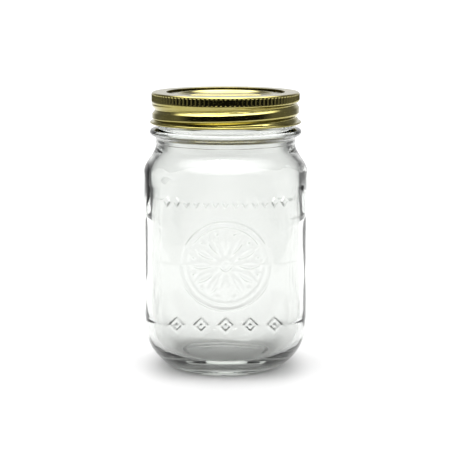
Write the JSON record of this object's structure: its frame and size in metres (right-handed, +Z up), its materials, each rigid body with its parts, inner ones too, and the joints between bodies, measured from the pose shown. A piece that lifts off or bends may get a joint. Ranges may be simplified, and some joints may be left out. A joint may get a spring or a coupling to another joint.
{
  "type": "coin bank jar",
  "caption": "Square-shouldered clear glass screw-top jar used as a coin bank, with a slotted lid disc, a sealing ring and a knurled screw band.",
  "frame": {"origin": "centre of the jar's base ring, on the surface it stands on", "axes": "+Z up along the jar's axis, -Y out of the embossed front panel, +X to the right seen from the front"},
  "size_m": [0.08, 0.0805, 0.135],
  "materials": {
    "clear_glass": "fire-polished clear glass",
    "lacquered_disc": "gold lacquer on tinplate, satin",
    "sealing_compound": "moulded sealing compound, satin",
    "lacquered_band": "gold lacquer on tinplate, glossy"
  },
  "bodies": {
    "jar": {"glass_jar": "clear_glass"},
    "lid": {"slotted_lid_disc": "lacquered_disc", "sealing_ring": "sealing_compound"},
    "band": {"screw_band": "lacquered_band"}
  },
  "joints": [
    {"name": "lid_lift", "type": "slide", "parent": "jar", "child": "lid", "axis": [0, 0, 1], "range_m": [0, 0.0159]},
    {"name": "band_turn", "type": "hinge", "parent": "lid", "child": "band", "pos_m": [0, 0, 0.1275], "axis": [0, 0, 1], "range_deg": [0, 900]}
  ],
  "couplings": [
    {"joint": "lid_lift", "follows": "band_turn", "m_per_rad": 0.0010106}
  ]
}
